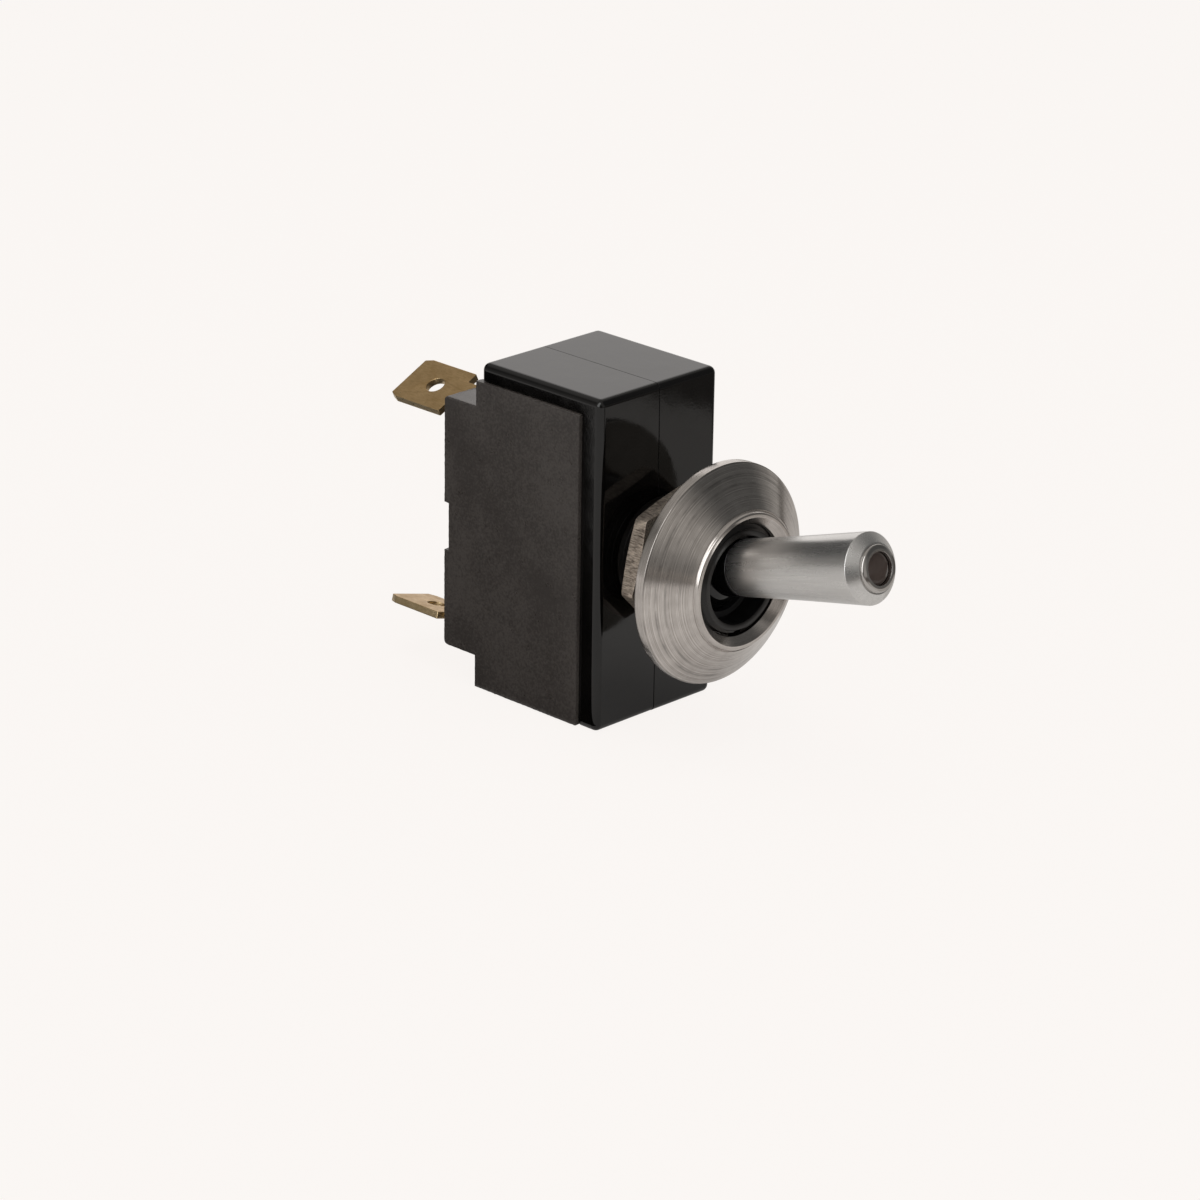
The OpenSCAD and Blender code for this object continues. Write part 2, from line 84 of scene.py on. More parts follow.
MM = 0.001
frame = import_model()
cad_low, cad_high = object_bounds()
scene = bpy.context.scene
scene.view_settings.view_transform = "Standard"

# ---- places, in millimetres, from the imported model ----


def span(node):
    """Lowest and highest corner of a CAD node, in millimetres."""
    low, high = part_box(node)
    return low / MM, high / MM


case_low, case_high = span("housing_left")
base_low, base_high = span("terminal_base")
bush_low, bush_high = span("bushing")
nut_low, nut_high = span("panel_nut")
dress_low, dress_high = span("dress_nut")
back_x, front_x = case_low.x, case_high.x
half_w, half_h = -case_low.y, case_high.z
THREAD_R = 5.95
BORE_R = 4.75
NUT_HOLE_R = 6.0

lever_throw = next(j for j in frame["joints"] if j["name"] == "lever_throw")
pivot = Vector(lever_throw["pos_m"])
throw = lever_throw["range_deg"]
tilt = math.radians((throw[1] - throw[0]) / 2)
on_lever = Matrix.Translation(pivot) @ Matrix.Rotation(-tilt, 4, "Y")

# ---- camera, fitted to the photograph ----

AZIMUTH, ELEVATION, ROLL = math.radians(44.326), math.radians(21.147), math.radians(0.884)
DISTANCE, SIDE, RISE = 0.488195, 0.006015, 0.005266
SENSOR, LENS = 36, 138.78


def make_camera():
    back = Vector((math.sin(AZIMUTH) * math.cos(ELEVATION),
                   -math.cos(AZIMUTH) * math.cos(ELEVATION), math.sin(ELEVATION)))
    right = Vector((math.cos(AZIMUTH), math.sin(AZIMUTH), 0))
    up = back.cross(right)
    right_r = right * math.cos(ROLL) + up * math.sin(ROLL)
    up_r = up * math.cos(ROLL) - right * math.sin(ROLL)
    data = bpy.data.cameras.new("camera")
    data.sensor_width = SENSOR
    data.lens = LENS
    data.clip_start = 0.01
    data.clip_end = 20
    camera = bpy.data.objects.new("camera", data)
    turn = Matrix((right_r, up_r, back)).transposed().to_4x4()
    place = Vector((front_x * MM, 0, 0)) + back * DISTANCE - right_r * SIDE - up_r * RISE
    camera.matrix_world = Matrix.Translation(place) @ turn
    scene.collection.objects.link(camera)
    scene.camera = camera


make_camera()

# ---- materials ----


class Nodes:
    """Short calls for building one material's node tree."""

    def __init__(self, name):
        self.mat = bpy.data.materials.new(name)
        self.mat.use_nodes = True
        self.tree = self.mat.node_tree
        self.bsdf = self.tree.nodes["Principled BSDF"]
        self.coord = self.tree.nodes.new("ShaderNodeTexCoord").outputs["Object"]

    def add(self, kind, inputs=None, **settings):
        node = self.tree.nodes.new(kind)
        for key, value in settings.items():
            setattr(node, key, value)
        for key, value in (inputs or {}).items():
            self.put(node.inputs[key], value)
        return node

    def put(self, socket, value):
        if isinstance(value, bpy.types.NodeSocket):
            self.tree.links.new(value, socket)
        else:
            socket.default_value = value

    def math(self, operation, a, b=0.0):
        return self.add("ShaderNodeMath", {0: a, 1: b}, operation=operation).outputs[0]

    def weighted(self, a, b, share):
        """share of a, and the rest of b."""
        return self.math("ADD", self.math("MULTIPLY", a, share),
                         self.math("MULTIPLY", b, 1 - share))

    def scaled(self, factors):
        node = self.add("ShaderNodeVectorMath", {0: self.coord, 1: factors}, operation="MULTIPLY")
        return node.outputs[0]

    def radius(self):
        """Distance from the piece's X axis."""
        flat = self.scaled((0, 1, 1))
        return self.add("ShaderNodeVectorMath", {0: flat}, operation="LENGTH").outputs["Value"]

    def noise(self, size_mm, detail=3.0, vector=None, rough=0.5, w=None):
        """Noise whose features are about size_mm across; along one line where w is given."""
        inputs = {"Scale": 1 / (size_mm * MM), "Detail": detail, "Roughness": rough}
        if w is None:
            inputs["Vector"] = vector or self.coord
            node = self.add("ShaderNodeTexNoise", inputs)
        else:
            inputs["W"] = w
            node = self.add("ShaderNodeTexNoise", inputs, noise_dimensions="1D")
        return node.outputs["Fac"]

    def mix(self, factor, a, b):
        node = self.add("ShaderNodeMix", data_type="RGBA")
        for socket, value in ((0, factor), (6, a), (7, b)):
            if isinstance(value, tuple) and len(value) == 3:
                value = (*value, 1)
            self.put(node.inputs[socket], value)
        return node.outputs[2]

    def to_range(self, value, low, high, out_low, out_high):
        return self.add("ShaderNodeMapRange", {
            "Value": value, "From Min": low, "From Max": high,
            "To Min": out_low, "To Max": out_high}).outputs["Result"]

    def swing(self, value, reach, out_low, out_high):
        """Maps a noise to a range, full at reach on either side of the noise's middle."""
        return self.to_range(value, 0.5 - reach, 0.5 + reach, out_low, out_high)

    def bump(self, height, depth_mm, below=None):
        inputs = {"Height": height, "Distance": depth_mm * MM, "Strength": 1.0}
        if below is not None:
            inputs["Normal"] = below
        return self.add("ShaderNodeBump", inputs).outputs["Normal"]

    def finish(self, **sockets):
        for key, value in sockets.items():
            socket = self.bsdf.inputs[key.replace("_", " ")]
            if isinstance(value, tuple) and len(value) == 3:
                value = (*value, 1)
            self.put(socket, value)
        return self.mat


def shade(colour, share):
    return tuple(share * c for c in colour)


def gloss_plastic(name, dark, light, rough):
    """Glossy moulding: faint flow marks, dust-fine specks and soft wander in the gloss."""
    dust = (0.015, 0.014, 0.013)
    n = Nodes(name)
    speck = n.noise(0.25, 2)
    colour = n.mix(n.swing(n.noise(6, 4), 0.15, 0, 1), dark, light)
    colour = n.mix(n.to_range(speck, 0.7, 0.85, 0, 0.2), colour, dust)
    gloss = n.swing(n.noise(2.5, 5), 0.2, rough * 0.75, rough * 1.5)
    skin = n.bump(n.noise(3.5, 2), 0.012)
    skin = n.bump(speck, 0.002, below=skin)
    return n.finish(Base_Color=colour, Roughness=gloss, Normal=skin, IOR=1.5)


def matt_plastic(name, dark, light, rough, grain_mm, depth_mm):
    """Fine-grained moulding with soft mottling."""
    n = Nodes(name)
    grain = n.noise(grain_mm, 3)
    tone = n.weighted(n.noise(7, 4), grain, 0.4)
    colour = n.mix(n.swing(tone, 0.08, 0, 1), dark, light)
    gloss = n.swing(n.noise(1.2, 4), 0.2, rough * 0.9, rough * 1.15)
    return n.finish(Base_Color=colour, Roughness=gloss, Normal=n.bump(grain, depth_mm), IOR=1.48)


def turned_metal(name, dark, light, rough, pitch_mm, depth_mm, cloud=0.06, ring_shade=0.0):
    """Lathe-turned metal: rings about the piece's X axis with uneven depth and shine.

    cloud is the strength of the broad patches, and the last setting that of the darker rings, which
    are painted shade of the turning grooves.
    """
    n = Nodes(name)
    along = n.add("ShaderNodeSeparateXYZ", {0: n.coord}).outputs["X"]
    wander = n.math("MULTIPLY", n.noise(5, 1), 0.02 * MM)
    line = n.math("ADD", n.math("ADD", n.radius(), along), wander)
    fine = n.noise(pitch_mm, 2, w=line)
    broad = n.noise(pitch_mm * 4, 3, w=line)
    ring_shade_mask = n.noise(pitch_mm * 3.5, 2, w=line)
    patch = n.noise(1.6, 4)
    nick = n.noise(0.5, 3, vector=n.scaled((1.5, 0.5, 0.5)))
    tone = n.math("SUBTRACT", n.weighted(fine, broad, 0.75), 0.5)
    tone = n.math("MULTIPLY", tone, n.to_range(nick, 0.38, 0.6, 0.25, 1))
    tone = n.math("ADD", n.math("ADD", tone, 0.5), n.swing(patch, 0.2, -cloud, cloud))
    colour = n.mix(n.swing(tone, 0.14, 0, 1), dark, light)
    # darker rings: painted shade in the turning grooves, mixed into the colour
    ring_shade_mask = n.math("MULTIPLY", n.to_range(ring_shade_mask, 0.60, 0.70, 0, ring_shade),
                    n.to_range(n.noise(2.5, 3), 0.38, 0.6, 0.1, 1))
    colour = n.mix(ring_shade_mask, colour, shade(dark, 0.35))
    gloss = n.swing(tone, 0.15, rough * 1.2, rough * 0.85)
    cut = n.math("MULTIPLY", fine, n.to_range(nick, 0.35, 0.6, 0.35, 1))
    return n.finish(Base_Color=colour, Metallic=1.0, Roughness=gloss, Normal=n.bump(cut, depth_mm))


def satin_metal(name, dark, light, rough):
    """Satin-anodised tube: soft streaks along X and a fine even grain."""
    n = Nodes(name)
    grain = n.noise(0.08, 2)
    tone = n.weighted(n.noise(0.6, 2, vector=n.scaled((0.03, 1, 1))), grain, 0.6)
    colour = n.mix(n.swing(tone, 0.14, 0, 1), dark, light)
    gloss = n.swing(tone, 0.15, rough * 1.1, rough * 0.92)
    return n.finish(Base_Color=colour, Metallic=0.95, Roughness=gloss, Normal=n.bump(grain, 0.0003))


def rubbed_metal(name, dark, light, rough, scratch_mm, depth_mm, stretch=(1, 1, 1),
                 metal=1.0, streaky=0.5):
    """Plated or rolled metal: mottled tone, streaks along one direction, small scratches.

    stretch below 1 draws the streaks out along that axis, and streaky is their share.
    """
    n = Nodes(name)
    streak = n.noise(scratch_mm, 4, vector=n.scaled(stretch), rough=0.65)
    speck = n.noise(0.18, 2)
    tone = n.weighted(n.noise(1.5, 5), streak, 1 - streaky)
    colour = n.mix(n.swing(tone, 0.14, 0, 1), dark, light)
    colour = n.mix(n.to_range(speck, 0.66, 0.8, 0, 0.7), colour, shade(dark, 0.45))
    gloss = n.swing(tone, 0.15, rough * 1.3, rough * 0.8)
    skin = n.bump(streak, depth_mm)
    skin = n.bump(speck, depth_mm * 0.6, below=skin)
    return n.finish(Base_Color=colour, Metallic=metal, Roughness=gloss, Normal=skin)


# Name, kind, dark and light colour, roughness, then the kind's own settings in order
FINISHES = {name: kind(name, *settings) for name, kind, *settings in [
    ("case", gloss_plastic, (0.0015, 0.0013, 0.0012), (0.0035, 0.003, 0.0028), 0.07),
    ("base", matt_plastic, (0.046, 0.039, 0.035), (0.078, 0.068, 0.061), 0.3, 0.24, 0.004),
    ("bushing", matt_plastic, (0.0045, 0.004, 0.0035), (0.010, 0.0085, 0.0075), 0.3, 0.1, 0.003),
    # bore: near-black colour painted as the shade deep inside the bushing's bore; the bushing's own
    # plastic is the finish above
    ("bore", matt_plastic, (0.001, 0.001, 0.001), (0.002, 0.002, 0.002), 0.5, 0.1, 0.002),
    ("panel_nut", rubbed_metal, (0.10, 0.08, 0.065), (0.69, 0.585, 0.485), 0.34, 0.14, 0.024,
     (0.18, 1, 1), 0.75, 0.75),
    # dress_nut's last setting, 0.5, is the strength of the painted groove shade on its rings
    ("dress_nut", turned_metal, (0.42, 0.39, 0.365), (0.72, 0.675, 0.64), 0.18, 0.03, 0.0018,
     0.05, 0.5),
    ("dress_back", turned_metal, (0.20, 0.19, 0.17), (0.34, 0.32, 0.29), 0.14, 0.06, 0.001),
    ("seal", matt_plastic, (0.010, 0.010, 0.010), (0.016, 0.016, 0.016), 0.5, 0.1, 0.002),
    ("steel", rubbed_metal, (0.5, 0.5, 0.49), (0.66, 0.66, 0.65), 0.25, 0.15, 0.002),
    ("actuator", gloss_plastic, (0.002, 0.002, 0.002), (0.004, 0.004, 0.004), 0.08),
    ("lever", satin_metal, (0.64, 0.63, 0.615), (0.71, 0.70, 0.685), 0.28),
    ("bezel", turned_metal, (0.44, 0.42, 0.40), (0.60, 0.58, 0.56), 0.12, 0.05, 0.0006, 0.02),
    ("lens", gloss_plastic, (0.045, 0.032, 0.027), (0.075, 0.056, 0.048), 0.08),
    ("lamp", gloss_plastic, (0.55, 0.52, 0.45), (0.62, 0.59, 0.52), 0.1),
    ("resistor", gloss_plastic, (0.5, 0.38, 0.22), (0.58, 0.45, 0.28), 0.3),
    ("lead_red", gloss_plastic, (0.4, 0.05, 0.03), (0.48, 0.07, 0.04), 0.4),
    ("lead_black", gloss_plastic, (0.012, 0.012, 0.012), (0.02, 0.02, 0.02), 0.4),
    ("plunger", gloss_plastic, (0.62, 0.58, 0.5), (0.7, 0.66, 0.58), 0.35),
    ("copper", rubbed_metal, (0.6, 0.32, 0.18), (0.78, 0.46, 0.28), 0.3, 0.2, 0.003),
    ("silver", rubbed_metal, (0.6, 0.59, 0.56), (0.76, 0.75, 0.72), 0.3, 0.2, 0.002),
    ("brass", rubbed_metal, (0.45, 0.295, 0.13), (0.64, 0.445, 0.225), 0.34, 0.25, 0.006,
     (0.35, 1.5, 1)),
    ("cut_brass", rubbed_metal, (0.52, 0.38, 0.20), (0.78, 0.62, 0.38), 0.3, 0.08, 0.01,
     (0.4, 3, 3)),
]}

# ---- mesh helpers ----


def new_piece(name, bm, slot, body, nodes, place=None, extra=(), sharp=32):
    """Makes a mesh object that rides on a body and stands for CAD nodes; bm is in millimetres.

    extra names further finishes, and edges bent by more than sharp degrees stay crisp.
    """
    bmesh.ops.remove_doubles(bm, verts=bm.verts, dist=1e-5)
    bmesh.ops.dissolve_degenerate(bm, dist=1e-6, edges=bm.edges)
    bmesh.ops.recalc_face_normals(bm, faces=bm.faces)
    bmesh.ops.scale(bm, vec=(MM, MM, MM), verts=bm.verts)
    for edge in bm.edges:
        bend = edge.calc_face_angle(0)
        edge.smooth = len(edge.link_faces) == 2 and bend < math.radians(sharp)
    for face in bm.faces:
        face.smooth = True
    mesh = bpy.data.meshes.new(name)
    bm.to_mesh(mesh)
    bm.free()
    for finish in (slot, *extra):
        mesh.materials.append(FINISHES[finish])
    obj = bpy.data.objects.new(name, mesh)
    scene.collection.objects.link(obj)
    if place is not None:
        obj.matrix_world = place
    even = obj.modifiers.new("even_normals", "WEIGHTED_NORMAL")
    even.keep_sharp = True
    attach(obj, body)
    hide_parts(*nodes)


def angles(count):
    return [2 * math.pi * k / count for k in range(count)]


def rounded(corners, steps=5):
    """Outline with an arc at each corner; corners are (x, y, radius), and 0 keeps one sharp."""
    spots = [Vector(corner[:2]) for corner in corners]
    out = []
    for i, (p, (_, _, r)) in enumerate(zip(spots, corners)):
        if r <= 0:
            out.append(p)
            continue
        a = spots[i - 1] - p
        b = spots[(i + 1) % len(spots)] - p
        room = min(a.length, b.length)
        a.normalize()
        b.normalize()
        half = a.angle(b) / 2
        cut = min(r / math.tan(half), room * 0.49)
        r_used = cut * math.tan(half)
        centre = p + (a + b).normalized() * (r_used / math.sin(half))
        start = p + a * cut - centre
        end = p + b * cut - centre
        total = start.angle(end)
        for k in range(steps + 1):
            t = k / steps
            w0 = math.sin((1 - t) * total) / math.sin(total)
            w1 = math.sin(t * total) / math.sin(total)
            out.append(centre + start * w0 + end * w1)
    return out


def lathe(points, segments=160, closed=True):
    """Turns an outline of (x, radius) about X. closed joins its last point to its first."""
    bm = bmesh.new()
    around = angles(segments)
    rings = []
    for x, r in points:
        if r < 1e-6:
            rings.append([bm.verts.new((x, 0, 0))])
        else:
            rings.append([bm.verts.new((x, r * math.cos(a), r * math.sin(a))) for a in around])
    pairs = list(zip(rings, rings[1:]))
    if closed:
        pairs.append((rings[-1], rings[0]))
    for one, two in pairs:
        if len(one) == 1 and len(two) == 1:
            continue
        for k in range(segments):
            m = (k + 1) % segments
            if len(one) == 1:
                bm.faces.new((one[0], two[m], two[k]))
            elif len(two) == 1:
                bm.faces.new((one[k], one[m], two[0]))
            else:
                bm.faces.new((one[k], one[m], two[m], two[k]))
    return bm


def subdivided(points, step):
    """Adds points along long straight runs."""
    out = []
    for a, b in zip(points, points[1:] + points[:1]):
        out.append(a)
        count = int((b - a).length / step)
        out.extend(a.lerp(b, k / (count + 1)) for k in range(1, count + 1))
    return out


def evaluated_bmesh(obj):
    """The object's mesh after its modifiers; the object is then removed."""
    graph = bpy.context.evaluated_depsgraph_get()
    mesh = bpy.data.meshes.new_from_object(obj.evaluated_get(graph))
    bm = bmesh.new()
    bm.from_mesh(mesh)
    bpy.data.objects.remove(obj, do_unlink=True)
    bpy.data.meshes.remove(mesh)
    return bm


def sheet_metal(outline, holes, thickness, bevel):
    """Flat plate in X-Y with rounded edges, as a bmesh; holes are (x, y, radius)."""
    curve = bpy.data.curves.new("outline", "CURVE")
    curve.dimensions = "2D"
    curve.fill_mode = "BOTH"
    curve.extrude = thickness / 2 - bevel
    curve.bevel_depth = bevel
    curve.bevel_resolution = 3
    curve.offset = -bevel
    loops = [outline]
    for x, y, r in holes:
        loops.append([(x + r * math.cos(t), y + r * math.sin(t)) for t in angles(48)])
    for loop in loops:
        spline = curve.splines.new("POLY")
        spline.points.add(len(loop) - 1)
        for point, at in zip(spline.points, loop):
            point.co = (at[0], at[1], 0, 1)
        spline.use_cyclic_u = True
    obj = bpy.data.objects.new("outline", curve)
    scene.collection.objects.link(obj)
    bm = evaluated_bmesh(obj)
    bpy.data.curves.remove(curve)
    bmesh.ops.remove_doubles(bm, verts=bm.verts, dist=1e-4)
    return bm


def joined(*parts):
    """One bmesh from several; each part is a bmesh and a matrix or None."""
    out = bmesh.new()
    for bm, matrix in parts:
        if matrix is not None:
            bmesh.ops.transform(bm, matrix=matrix, verts=bm.verts)
        mesh = bpy.data.meshes.new("part")
        bm.to_mesh(mesh)
        out.from_mesh(mesh)
        bpy.data.meshes.remove(mesh)
        bm.free()
    return out


# ---- dress nut ----


def make_dress_nut():
    """Conical nut with a thin rim, a step before its flat nose and a countersunk mouth."""
    x0, x1 = dress_low.x, dress_high.x
    rim_r, rim_t = dress_high.z, 1.12
    outline = rounded([
        (x0, NUT_HOLE_R, 0.25),
        (x0, rim_r, 0.1), (x0 + rim_t, rim_r, 0.1),
        (x1 - 0.4, 7.66, 0.04), (x1 - 0.46, 7.56, 0.04), (x1 - 0.3, 7.47, 0.08),
        (x1, 7.38, 0.2), (x1, 6.95, 0.08),
        (x1 - 0.85, 6.12, 0.05), (x1 - 1.1, 6.04, 0), (x1 - 1.3, NUT_HOLE_R, 0)], 6)
    bm = lathe(subdivided(outline, 0.4), 256)
    for face in bm.faces:
        face.material_index = int(face.calc_center_median().x < x0 + 0.02)
    new_piece("dress_nut_turned", bm, "dress_nut", "dress_nut", ["dress_nut"],
              extra=("dress_back",))


make_dress_nut()

# ---- panel nut ----

NUT_FLATS = 14.3
NUT_TURN = math.radians(90 - 14)


def hex_nut(x_low, x_high, flats, hole_r, turn, bevel=0.3, edge=0.08):
    """Hexagonal nut with chamfered faces and eased edges."""
    bm = bmesh.new()
    corner = flats / 2 / math.cos(math.pi / 6)
    corner_ease, ease_angle = 0.1, 0.03
    mouth = 0.35
    face_r = flats / 2 - 0.1
    cone_r = corner + 0.3
    slope = bevel / (cone_r - face_r)
    columns = []
    for a in angles(6 * 28):
        off = (a + math.pi / 6) % (math.pi / 3) - math.pi / 6
        wall = flats / 2 / math.cos((a % (math.pi / 3)) - math.pi / 6)
        wall = min(wall, corner - corner_ease * max(0, 1 - abs(off) / ease_angle))
        drop = bevel * max(0, wall - face_r) / (cone_r - face_r)
        ease = min(edge, (wall - face_r) * 0.45)
        side = [(x_high, hole_r + mouth), (x_high, face_r - 0.12),
                (x_high - 0.02, face_r + 0.02),
                (x_high - drop + ease * slope, wall - ease),
                (x_high - drop - ease * 0.15, wall - ease * 0.25),
                (x_high - drop - ease, wall)]
        mirrored = [(x_low + x_high - x, r) for x, r in reversed(side)]
        line = side + mirrored + [(x_low + mouth, hole_r), (x_high - mouth, hole_r)]
        b = a + turn
        columns.append([bm.verts.new((x, r * math.cos(b), r * math.sin(b))) for x, r in line])
    for one, two in zip(columns, columns[1:] + columns[:1]):
        for i in range(len(one)):
            j = (i + 1) % len(one)
            bm.faces.new((one[i], one[j], two[j], two[i]))
    return bm


new_piece("panel_nut_hex", hex_nut(nut_low.x, nut_high.x, NUT_FLATS, NUT_HOLE_R, NUT_TURN),
          "panel_nut", "panel_nut", ["panel_nut"], sharp=24)

# ---- bushing ----

ROOT_R = 5.5
PITCH = 0.794
KEYWAY_W = 1.7
KEY_FLOOR = THREAD_R - 0.45


def threaded_tube(x_back, x_end):
    """Tube with a real helical thread and a keyway along its underside."""
    bm = bmesh.new()
    key = math.asin(KEYWAY_W / 2 / THREAD_R)
    key_sides = [1.5 * math.pi + s * key * f for s in (-1, 1) for f in (0.985, 1.0)]
    profile = [(0.0, ROOT_R), (0.125, ROOT_R), (0.44, THREAD_R), (0.56, THREAD_R),
               (0.875, ROOT_R)]
    run_out = 0.6 * PITCH
    end_face = [(x_end - 0.14, ROOT_R), (x_end - 0.02, ROOT_R - 0.1), (x_end, ROOT_R - 0.2),
                (x_end, BORE_R + 0.2)]
    bore = [(x_end - 0.06, BORE_R + 0.06), (x_end - 0.25, BORE_R),
            (x_back + 5.75, BORE_R), (x_back + 4.25, BORE_R + 0.45)]
    turns = int((x_end - x_back) / PITCH) + 3
    columns = []
    for a in sorted(set(angles(144) + key_sides)):
        line = []
        for t in range(-1, turns):
            for at, r in profile:
                x = x_back + (t + at + a / (2 * math.pi)) * PITCH
                if x > x_end - run_out:
                    r = ROOT_R + (r - ROOT_R) * min(1.0, max(0.0, (x_end - x) / run_out))
                x = min(max(x, x_back), x_end - 0.14)
                y, z = r * math.cos(a), r * math.sin(a)
                if z < 0 and abs(y) < KEYWAY_W / 2 * 0.999:
                    z = max(z, -KEY_FLOOR)
                line.append((x, y, z))
        line += [(x, r * math.cos(a), r * math.sin(a)) for x, r in end_face + bore]
        columns.append([bm.verts.new(p) for p in line])
    for one, two in zip(columns, columns[1:] + columns[:1]):
        for i in range(len(one) - 1):
            face = bm.faces.new((one[i], one[i + 1], two[i + 1], two[i]))
            # the bore's faces take the second finish, a near-black painted shade
            face.material_index = int(i >= len(one) - len(bore))
    return bm


def make_bushing():
    collar_r, bore_r, flange_t = THREAD_R - 0.3, 5.2, 1.5
    x0, x1 = bush_low.x, bush_low.x + flange_t
    flange = lathe(rounded([
        (x0, bore_r, 0.1), (x0, bush_high.z, 0.2), (x1, bush_high.z, 0.1),
        (x1, collar_r, 0), (front_x, collar_r, 0), (front_x, bore_r, 0)]), 128)
    tube = threaded_tube(front_x, bush_high.x)
    # the bore's second finish is painted shade, darker than the bushing's own plastic
    new_piece("bushing_threaded", joined((tube, None), (flange, None)), "bushing", "case",
              ["bushing"], extra=("bore",))


make_bushing()

# ---- lever, as (x, radius) from the pivot ----

LEVER_LEN, CHAMFER = 23.45, 0.95
SPIGOT_X, SPIGOT_R = 1.6, 2.35
FOOT_X = 5.8
tip_x = LEVER_LEN + CHAMFER


def make_lever_tube():
    """Spigot, foot, gentle taper, flared rim, chamfer, and the bores for leads and ring."""
    lead_bore, tip_bore, bore_depth = 1.75, 2.2, 4
    shank = rounded([
        (SPIGOT_X, lead_bore, 0), (SPIGOT_X, SPIGOT_R, 0), (FOOT_X, SPIGOT_R, 0),
        (FOOT_X, 2.97, 0.12), (6.1, 3.03, 0.5), (14.4, 3.33, 60),
        (LEVER_LEN, 3.78, 0.13), (tip_x, 2.66, 0.1), (tip_x, tip_bore, 0.05),
        (tip_x - bore_depth, tip_bore, 0), (tip_x - bore_depth, lead_bore, 0)], 6)
    new_piece("lever_tube", lathe(subdivided(shank, 1.0), 192), "lever", "lever", ["lever"],
              place=on_lever)


def make_tip_ring():
    face_x, seat, mouth_r, skirt_r = LEVER_LEN + 1.4, 0.9, 1.72, 2.15
    ring = rounded([
        (tip_x - seat, mouth_r, 0), (tip_x - seat, skirt_r, 0), (tip_x, skirt_r, 0),
        (tip_x, 2.5, 0.04), (face_x - 0.14, 2.46, 0.25), (face_x, 2.05, 0.2),
        (face_x, 1.76, 0.04), (face_x - 0.3, mouth_r, 0.06)], 8)
    new_piece("tip_ring", lathe(ring, 128), "bezel", "lever", ["tip_bezel"], place=on_lever)


def make_tip_lens():
    lens_x, lens_r, lens_t, dome_steps = LEVER_LEN + 1.2, 1.7, 1.3, 12
    dome = [(lens_x - lens_t, 0.0), (lens_x - lens_t, lens_r)]
    dome += [(lens_x - 0.3 + 0.28 * math.cos(t), lens_r * math.sin(t))
             for t in (math.pi / 2 * (1 - k / dome_steps) for k in range(dome_steps))]
    dome.append((lens_x - 0.02, 0.0))
    new_piece("tip_lens_dome", lathe(dome, 96, closed=False), "lens", "lever", ["tip_lens"],
              place=on_lever)


def make_actuator():
    """Stem with a swollen end, ball on the pivot, and the collar around the lever's foot."""
    ball_r, ball_end, socket_r = 4.4, 2.9, SPIGOT_R + 0.01
    stem = [(-14.9, 0.0), (-14.9, 1.4), (-14.9, 2.0), (-14.7, 2.2), (-11.9, 2.2),
            (-11.5, 2.0), (-3.95, 2.0)]
    ball = [(-ball_r * math.cos(math.pi * k / 60), ball_r * math.sin(math.pi * k / 60))
            for k in range(8, 60)]
    ball = [p for p in ball if p[0] < ball_end]
    collar = rounded([(3.22, 3.0, 0.5), (FOOT_X, 3.0, 0.22), (FOOT_X, socket_r, 0),
                      (SPIGOT_X, socket_r, 0), (SPIGOT_X, 0.0, 0)], 6)
    new_piece("actuator_moulding", lathe(stem + ball + collar, 160, closed=False), "actuator",
              "lever", ["actuator"], place=on_lever)


make_lever_tube()
make_tip_ring()
make_tip_lens()
make_actuator()

# ---- terminals ----

BLADE_HALF, BLADE_LEN, BLADE_T = 3.175, 7.65, 0.8
NECK_HALF, FOOT_HALF = 1.8, 1.25
BLADE_HOLE_R, BLADE_HOLE_IN = 1.05, 4.2
ROW_Y, TOP_Z, LOW_Z, MID_Z = 5.0, 12.2, -13.2, -0.5
strap_x = front_x - 13.5
shoulder = base_low.x - 2.2
blade_tip = shoulder - BLADE_LEN
blade_half_outline = [
    (blade_tip, BLADE_HALF - 0.4, 0.15), (blade_tip + 0.95, BLADE_HALF, 0.2),
    (shoulder, BLADE_HALF, 0.12), (shoulder, NECK_HALF, 0.15), (strap_x, NECK_HALF, 0)]
blade_outline = rounded(
    blade_half_outline + [(x, -y, r) for x, y, r in reversed(blade_half_outline)], 4)


def terminal(name, node, y, z, twist, feet):
    """Blade with its neck and the foot plates that lie on the base's floor.

    Each foot is its low and high corner in Y and Z.
    """
    hole = (blade_tip + BLADE_HOLE_IN, 0, BLADE_HOLE_R)
    blade = sheet_metal(blade_outline, [hole], BLADE_T, 0.07)
    for face in blade.faces:
        face.material_index = 0 if abs(face.normal.z) > 0.6 else 1
    turn = Matrix.Rotation(math.radians(twist), 4, "X")
    parts = [(blade, Matrix.Translation((0, y, z)) @ turn)]
    to_yz = Matrix(((0, 0, 1, strap_x - BLADE_T / 2), (1, 0, 0, 0), (0, 1, 0, 0), (0, 0, 0, 1)))
    for low, high in feet:
        corners = [low, (high[0], low[1]), high, (low[0], high[1])]
        parts.append((sheet_metal(corners, [], BLADE_T, 0.05), to_yz))
    new_piece(name, joined(*parts), "brass", "case", [node], extra=("cut_brass",))


terminal("line_blade", "line_terminal", -ROW_Y, TOP_Z, 26,
         [((-ROW_Y - NECK_HALF, TOP_Z - FOOT_HALF), (1.7, TOP_Z + FOOT_HALF)),
          ((-1.7, -1.7), (1.7, TOP_Z + FOOT_HALF))])
terminal("load_blade", "load_terminal", -ROW_Y, LOW_Z, -15,
         [((-ROW_Y - NECK_HALF, LOW_Z - FOOT_HALF), (1.7, LOW_Z + FOOT_HALF)),
          ((-1.9, LOW_Z), (1.9, -5.5))])
terminal("ground_blade", "ground_terminal", ROW_Y, MID_Z, 0,
         [((ROW_Y - 1.2, MID_Z - FOOT_HALF), (ROW_Y + 1.2, MID_Z + FOOT_HALF))])

# ---- case halves and base ----

plate_y, plate_front, plate_top = half_w - 0.6, front_x - 2.7, half_h - 2.0
block_low, block_top = base_low.z + 3.8, half_h - 4.8
FAR = 20


